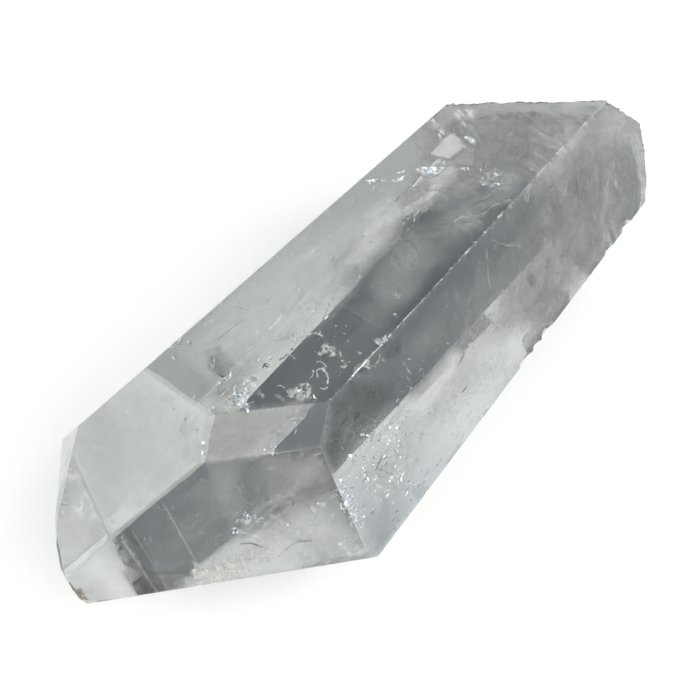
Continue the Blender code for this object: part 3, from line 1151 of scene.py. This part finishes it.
# Grains that glitter: mark, half-width, half-height, knots, how many, face, depth
GLITTER = (
    ((251, 382), 6, 6, 4, 170, "long_0", 0.6),
    ((238, 402), 9, 5, 4, 160, "long_0", 0.6),
    ((246, 393), 9, 6, 4, 120, "long_0", 0.6),
    ((291, 337), 6, 4, 2, 20, "long_0", 0.6),
    ((300, 391), 12, 9, 3, 40, "long_0", 0.6),
    ((488, 176), 13, 10, 6, 90, "long_0", 1.1),
    ((341, 489), 4, 6, 6, 50, "long_1", 0.4),
    ((348, 502), 5, 7, 8, 130, "long_1", 0.5),
    ((358, 516), 6, 8, 9, 110, "long_1", 0.6),
    ((378, 458), 30, 38, 60, 640, "long_1", 0.8),
    ((246, 524), 13, 12, 6, 70, "end_1", 0.8),
    ((318, 506), 7, 5, 2, 30, "end_1", 1.0),
    ((222, 568), 24, 9, 12, 90, "end_1", 0.6),
    ((285, 535), 50, 16, 9, 60, "end_1", 1.2),
    ((325, 360), 50, 50, 12, 60, "long_0", 0.3),
    ((203, 445), 5, 16, 6, 50, "end_0", 0.3),
    ((262, 451), 20, 4, 4, 30, "corner", 0.4),
    ((534, 328), 2, 9, 2, 14, "long_1", 0.6),
)


def facing_key(mark, face, sway, chance):
    """Direction that a film faces to show the key light at a mark."""
    out = FACES[face]
    to_eye = -bent_inwards(line_of_sight(mark), out)
    to_key = -bent_inwards(-KEY, out)
    shake = Vector([chance.gauss(0.0, sway) for _ in range(3)])
    return ((to_eye + to_key).normalized() + shake).normalized()


def gas_film(face, depth, marks, seed):
    """Crinkled film of gas in a closed crack."""
    chance = random.Random(seed)
    shape = bmesh.new()
    middle = (sum(m[0] for m in marks) / len(marks), sum(m[1] for m in marks) / len(marks))
    facing = facing_key(middle, face, 0.0, chance)
    centre = under_face(middle, face, depth * MM)
    corners = []
    for mark in marks:
        inwards = bent_inwards(line_of_sight(mark), FACES[face])
        start = on_face(mark, face)
        depth_along = (centre - start).dot(facing) / inwards.dot(facing)
        corners.append(shape.verts.new(start + inwards * depth_along))
    outline = shape.faces.new(corners)
    bmesh.ops.poke(shape, faces=[outline])
    bmesh.ops.subdivide_edges(shape, edges=shape.edges[:], cuts=4, use_grid_fill=True)
    for vert in shape.verts:
        place = vert.co / MM + Vector((seed, 0.0, 0.0))
        swell = facing * noise.noise(place * 2.2) * FILM_SWELL * MM
        vert.co += swell + noise_shift(place * 3.1) * FILM_JITTER * MM
    return shape


def glitter(mark, half_width, half_height, knots, count, face, depth, seed):
    """Tiny flat grains in knots, most of them turned towards the key light and few of them large."""
    chance = random.Random(GRAIN_SEED + seed)
    shape = bmesh.new()
    middles = [
        (mark[0] + half_width * chance.uniform(-1.0, 1.0), mark[1] + half_height * chance.uniform(-1.0, 1.0))
        for _ in range(knots)
    ]
    for i in range(count):
        middle = middles[i % knots]
        spot = (middle[0] + chance.gauss(0.0, half_width / 4), middle[1] + chance.gauss(0.0, half_height / 4))
        place = under_face(spot, face, depth * chance.uniform(0.3, 1.5) * MM)
        facing = facing_key(spot, face, 0.25, chance)
        stand = UP.rotation_difference(facing).to_matrix().to_4x4()
        turn = Matrix.Rotation(chance.uniform(0.0, 6.3), 4, "Z")
        spread = Matrix.Diagonal((chance.uniform(0.6, 2.4), chance.uniform(0.4, 1.0), 1.0, 1.0))
        matrix = Matrix.Translation(place) @ stand @ turn @ spread
        radius = (GRAIN_RADIUS + GRAIN_EXCESS * chance.random() ** 4) * MM
        bmesh.ops.create_circle(shape, cap_ends=True, segments=5, radius=radius, matrix=matrix)
    return shape


# Tones of a film from its thin parts to its thick ones
FILM_TONES = (
    (0.36, (0.62, 0.68, 0.70)),
    (0.44, (0.80, 0.90, 0.98)),
    (0.50, (0.97, 0.92, 0.95)),
    (0.62, (0.98, 0.98, 0.96)),
)


def silver_film():
    """Bright crinkled reflection of a gas-filled crack, with faint bands of colour."""
    material, tree, shader = new_material("silver_film")
    vector = placed_pattern(tree, (1.0, 1.0, 1.0))
    tone = add_node(tree, "ShaderNodeValToRGB")
    ramp_stops(tone, FILM_TONES)
    tree.links.new(noise_value(tree, vector, 900.0, 3.0), tone.inputs["Fac"])
    tree.links.new(tone.outputs["Color"], shader.inputs["Base Color"])
    shader.inputs["Metallic"].default_value = 0.85
    shader.inputs["Roughness"].default_value = 0.28
    crinkle = noise_value(tree, vector, 2400.0, 3.0)
    tree.links.new(bumped(tree, crinkle, 0.00010), shader.inputs["Normal"])
    holes = ranged(tree, noise_value(tree, vector, 2600.0, 3.0, 0.6), 0.38, 0.50)
    tree.links.new(holes, shader.inputs["Alpha"])
    return material


class QUARTZ_OT_films(bpy.types.Operator):
    """Set the silvery films and the glittering grains under the faces"""

    bl_idname = "quartz.films"
    bl_label = "Silvery films"

    def execute(self, context):
        silver = silver_film()
        films = joined([gas_film(*spec, seed) for seed, spec in enumerate(FILMS)])
        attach(object_from(films, "silver_films", silver), "root")
        grains = [glitter(*spec, seed) for seed, spec in enumerate(GLITTER)]
        hang_inside("glitter_grains", grains, silver, 0.08)
        return {"FINISHED"}


# Healed cracks: face, height of the curtain that hangs under the line, lean, and the marks along it
CRACKS = (
    ("long_0", 0.6, 20.0,
     ((338, 286), (348, 291), (358, 295), (366, 291), (371, 286), (376, 281), (393, 279))),
    ("long_0", 0.4, 35.0, ((335, 288), (345, 293), (357, 297))),
    ("long_0", 0.5, 10.0, ((351, 317), (355, 311), (358, 309))),
    ("long_0", 1.2, 30.0, ((436, 223), (449, 222), (460, 220), (472, 220), (482, 223), (492, 227))),
    ("long_0", 0.7, -20.0, ((454, 221), (459, 216), (470, 216), (482, 214), (496, 203), (512, 199))),
    ("long_1", 1.2, 20.0, ((492, 240), (506, 246), (520, 246), (530, 256), (537, 273))),
    ("long_0", 0.8, 15.0, ((416, 185), (430, 184), (441, 188), (448, 189))),
    ("long_0", 0.6, 15.0, ((434, 222), (440, 227), (449, 230))),
    ("long_1", 0.8, 5.0, ((487, 249), (488, 262), (489, 279), (491, 288))),
    ("long_1", 0.4, 5.0, ((402, 360), (406, 366), (410, 374))),
    ("long_1", 0.3, 5.0, ((424, 370), (423, 377))),
    ("long_0", 0.8, 25.0,
     ((180, 348), (191, 344), (204, 342), (214, 343), (219, 339), (228, 330), (244, 318))),
    ("long_0", 0.4, 15.0, ((233, 307), (241, 308), (249, 310), (250, 316))),
    ("long_0", 0.5, 0.0, ((475, 119), (480, 123), (487, 126), (492, 120), (500, 117))),
    ("long_0", 0.9, 30.0, ((530, 155), (545, 149), (560, 144))),
)

# Dark films along the cracks: painted shade on their dark side
PAINTED_CRACK_SHADES = (
    ("long_1", 0.5, 5.0, ((575, 168), (577, 180), (578, 197))),
    ("long_1", 0.5, 10.0, ((350, 378), (352, 389), (360, 404), (366, 415))),
    ("long_0", 0.5, 20.0, ((219, 340), (228, 331), (243, 319))),
    ("long_0", 0.3, 20.0, ((186, 342), (190, 343), (194, 342))),
    ("long_0", 0.3, 20.0, ((349, 246), (352, 240), (354, 233))),
    ("long_0", 0.3, 0.0, ((263, 361), (266, 363), (268, 368), (267, 373))),
    ("long_0", 0.3, 10.0, ((208, 345), (219, 339), (232, 328), (246, 318), (252, 310))),
    ("long_0", 0.3, 10.0, ((236, 307), (244, 308), (250, 311))),
    ("end_1", 0.4, 10.0, ((240, 545), (250, 543), (262, 548))),
    ("end_1", 0.4, 10.0, ((284, 551), (296, 543), (312, 541))),
    ("long_1", 0.4, 10.0, ((376, 470), (381, 462), (382, 452))),
    ("long_0", 0.3, 0.0, ((421, 176), (430, 178), (440, 174))),
)


# Depth of a crack's upper line, and rows of faces down its curtain
CRACK_DEPTH = 0.12 * MM
CURTAIN_ROWS = 3


def crack_curtain(face, height, lean, marks, strength, seed):
    """Curtain that hangs into the crystal from a wavering line just under a face, thinning downwards."""
    points = smooth_path([under_face(mark, face, CRACK_DEPTH) for mark in marks], CRACK_STEP)
    out = FACES[face]
    along = (points[-1] - points[0]).normalized()
    down = Matrix.Rotation(math.radians(lean), 3, along) @ -out
    shape = bmesh.new()
    bmesh.ops.create_grid(shape, x_segments=len(points) - 1, y_segments=CURTAIN_ROWS, size=1.0)
    dense = shape.verts.layers.float.new("sheet_density")
    for vert in shape.verts:
        place = points[round((vert.co.x + 1) / 2 * (len(points) - 1))]
        row = round((1 - vert.co.y) / 2 * CURTAIN_ROWS)
        waver = noise_shift(place / MM * 1.3 + Vector((seed, 0.0, 0.0))) * 0.12 * MM
        vert.co = place + waver - out * waver.dot(out)
        for _ in range(row):
            sway = noise.noise(vert.co / MM * 0.9 + Vector((0.0, seed, 0.0)))
            vert.co += down * (height / CURTAIN_ROWS) * (1 + 0.5 * sway) * MM
        if row == 0:
            uneven = 0.75 + 0.8 * noise.noise(place / MM * 0.9 + Vector((0.0, 0.0, seed)))
            vert[dense] = strength * max(0.1, uneven)
        else:
            vert[dense] = 0.55 * strength * (1 - row / CURTAIN_ROWS)
    return shape


def crack_material(name, colour, low):
    """Film along a crack, densest along its upper line and broken by its own grain: white and brightest there
    for a healed crack, and dark for the painted shade beside a crack.
    """
    return veil_material(name, colour, 700.0, 0.0, 0.5, (low, 0.55))


class QUARTZ_OT_cracks(bpy.types.Operator):
    """Draw the healed cracks just under the faces, and the painted shade on their dark side"""

    bl_idname = "quartz.cracks"
    bl_label = "Cracks"

    def execute(self, context):
        light = [crack_curtain(*spec, 1.0, 11.0 * i) for i, spec in enumerate(CRACKS)]
        hang_inside("light_cracks", light, crack_material("light_crack", WHITE, 0.34), 0.05)
        # Dark films of painted shade along the cracks
        dark = [crack_curtain(*spec, 1.7, 5.0 + 13.0 * i) for i, spec in enumerate(PAINTED_CRACK_SHADES)]
        hang_inside("painted_crack_shades", dark, crack_material("painted_crack_shade", PAINTED_CRACK_SHADE, 0.30), 0.05)
        return {"FINISHED"}


# Dark specks: mark, face, size
SPECKS = (
    ((221, 375), "long_0", 0.2),
    ((263, 365), "long_0", 0.2),
    ((191, 343), "long_0", 0.14),
    ((300, 307), "long_0", 0.12),
    ((343, 374), "long_0", 0.12),
    ((186, 420), "end_0", 0.12),
    ((146, 400), "end_0", 0.08),
    ((174, 409), "end_0", 0.08),
    ((364, 236), "long_0", 0.12),
    ((370, 242), "long_0", 0.1),
    ((301, 379), "long_0", 0.08),
)


# Least and greatest length, width and height of a crumb, as shares of its size
CRUMB_SPANS = ((0.6, 1.6), (0.6, 1.3), (0.3, 0.8))
CRUMBS_IN_SPECK = 5


def crumb(shape, place, size, chance):
    """One uneven grain."""
    turn = Matrix.Rotation(chance.uniform(0.0, 6.3), 4, Vector((chance.random(), chance.random(), 0.3)))
    sizes = [chance.uniform(*span) for span in CRUMB_SPANS]
    spread = Matrix.Diagonal((*sizes, 1.0))
    matrix = Matrix.Translation(place) @ turn @ spread
    made = bmesh.ops.create_icosphere(shape, subdivisions=1, radius=size, matrix=matrix)
    for vert in made["verts"]:
        vert.co += Vector([chance.uniform(-0.3, 0.3) * size for _ in range(3)])


def speck(mark, face, size, seed):
    """Small group of dark grains under a face."""
    chance = random.Random(SPECK_SEED + seed)
    shape = bmesh.new()
    place = under_face(mark, face, 0.25 * MM)
    for _ in range(CRUMBS_IN_SPECK):
        shift = Vector([chance.gauss(0.0, size * 0.55) for _ in range(3)]) * MM
        crumb(shape, place + shift, size * chance.uniform(0.25, 0.6) * MM, chance)
    return shape


def dark_mineral():
    material, tree, shader = new_material("dark_mineral")
    vector = placed_pattern(tree, (1.0, 1.0, 1.0))
    tone = add_node(tree, "ShaderNodeValToRGB")
    ramp_stops(tone, ((0.0, (0.03, 0.035, 0.03)), (1.0, (0.16, 0.14, 0.09))))
    tree.links.new(noise_value(tree, vector, 3000.0), tone.inputs["Fac"])
    tree.links.new(tone.outputs["Color"], shader.inputs["Base Color"])
    shader.inputs["Roughness"].default_value = 0.5
    return material


class QUARTZ_OT_specks(bpy.types.Operator):
    """Set the few dark mineral specks under the faces"""

    bl_idname = "quartz.specks"
    bl_label = "Specks"

    def execute(self, context):
        whole = joined([speck(*spec, seed) for seed, spec in enumerate(SPECKS)])
        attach(object_from(whole, "dark_specks", dark_mineral()), "root")
        return {"FINISHED"}


def studio_world():
    """Soft studio surroundings: grey all round, dark below, and light and dark cards set into them."""
    world = bpy.data.worlds.new("studio")
    world.use_nodes = True
    tree = world.node_tree
    coordinate = add_node(tree, "ShaderNodeTexCoord")
    split = add_node(tree, "ShaderNodeSeparateXYZ")
    tree.links.new(coordinate.outputs["Generated"], split.inputs[0])
    ramp = add_node(tree, "ShaderNodeValToRGB")
    ramp_stops(ramp, [((height + 1) / 2, colour) for height, colour in SURROUNDINGS])
    tree.links.new(ranged(tree, split.outputs["Z"], -1.0, 1.0, smooth=False), ramp.inputs["Fac"])
    light = ramp.outputs["Color"]
    for direction, outer, inner, colour in CARDS:
        aim = add_node(tree, "ShaderNodeVectorMath", operation="DOT_PRODUCT")
        tree.links.new(coordinate.outputs["Generated"], aim.inputs[0])
        aim.inputs[1].default_value = Vector(direction).normalized()
        rim, core = math.cos(math.radians(outer)), math.cos(math.radians(inner))
        share = ranged(tree, aim.outputs["Value"], rim, core)
        mix = add_node(tree, "ShaderNodeMix", data_type="RGBA")
        tree.links.new(share, mix.inputs[0])
        tree.links.new(light, mix.inputs[6])
        mix.inputs[7].default_value = (*colour, 1.0)
        light = mix.outputs[2]
    tree.links.new(light, tree.nodes["Background"].inputs["Color"])
    bpy.context.scene.world = world


FLOOR_HALF_WIDTH = 1.5
FLOOR_TONE = (0.94, 0.94, 0.94)


def pale_floor():
    material, _, shader = new_material("pale_floor")
    shader.inputs["Base Color"].default_value = (*FLOOR_TONE, 1.0)
    shader.inputs["Roughness"].default_value = 0.9
    shader.inputs["Specular IOR Level"].default_value = 0.1
    return material


class QUARTZ_OT_stage(bpy.types.Operator):
    """Set up the pale floor, the soft studio light and the photograph's camera"""

    bl_idname = "quartz.stage"
    bl_label = "Stage"

    def execute(self, context):
        scene = context.scene
        scene.view_settings.view_transform = "Standard"
        scene.view_settings.look = "None"
        scene.cycles.max_bounces = 10
        scene.cycles.transmission_bounces = 10
        scene.cycles.glossy_bounces = 8
        scene.cycles.diffuse_bounces = 4
        scene.cycles.transparent_max_bounces = 22
        scene.cycles.sample_clamp_indirect = 6.0
        studio_world()
        shape = bmesh.new()
        bmesh.ops.create_grid(shape, x_segments=1, y_segments=1, size=FLOOR_HALF_WIDTH)
        floor = object_from(shape, "floor", pale_floor())
        floor.visible_transmission = False
        data = bpy.data.cameras.new("photo_camera")
        data.lens = CAMERA_LENS
        data.sensor_width = SENSOR_WIDTH
        data.clip_start = 1 * MM
        data.clip_end = 5.0
        camera = bpy.data.objects.new("photo_camera", data)
        scene.collection.objects.link(camera)
        camera.matrix_world = Matrix.Translation(CAMERA_PLACE) @ camera_turn().to_4x4()
        scene.camera = camera
        return {"FINISHED"}


class QUARTZ_PT_panel(bpy.types.Panel):
    bl_idname = "QUARTZ_PT_panel"
    bl_label = "Quartz Point"
    bl_space_type = "VIEW_3D"
    bl_region_type = "UI"
    bl_category = "Quartz"

    def draw(self, context):
        for name in QuartzSizes.__annotations__:
            self.layout.prop(context.scene.quartz_sizes, name)
        for name in QuartzColours.__annotations__:
            self.layout.prop(context.scene.quartz_colours, name)
        for step in STEPS:
            self.layout.operator(step.bl_idname)


STEPS = (
    QUARTZ_OT_stage,
    QUARTZ_OT_crystal,
    QUARTZ_OT_veils,
    QUARTZ_OT_wisps,
    QUARTZ_OT_films,
    QUARTZ_OT_cracks,
    QUARTZ_OT_specks,
)
CLASSES = (QuartzSizes, QuartzColours, *STEPS, QUARTZ_PT_panel)


def register():
    for item in CLASSES:
        bpy.utils.register_class(item)
    bpy.types.Scene.quartz_sizes = bpy.props.PointerProperty(type=QuartzSizes)
    bpy.types.Scene.quartz_colours = bpy.props.PointerProperty(type=QuartzColours)


def unregister():
    del bpy.types.Scene.quartz_sizes
    del bpy.types.Scene.quartz_colours
    for item in reversed(CLASSES):
        bpy.utils.unregister_class(item)


def main():
    register()
    bpy.ops.quartz.stage()
    bpy.ops.quartz.crystal()
    bpy.ops.quartz.veils()
    bpy.ops.quartz.wisps()
    bpy.ops.quartz.films()
    bpy.ops.quartz.cracks()
    bpy.ops.quartz.specks()


if __name__ == "__main__":
    main()
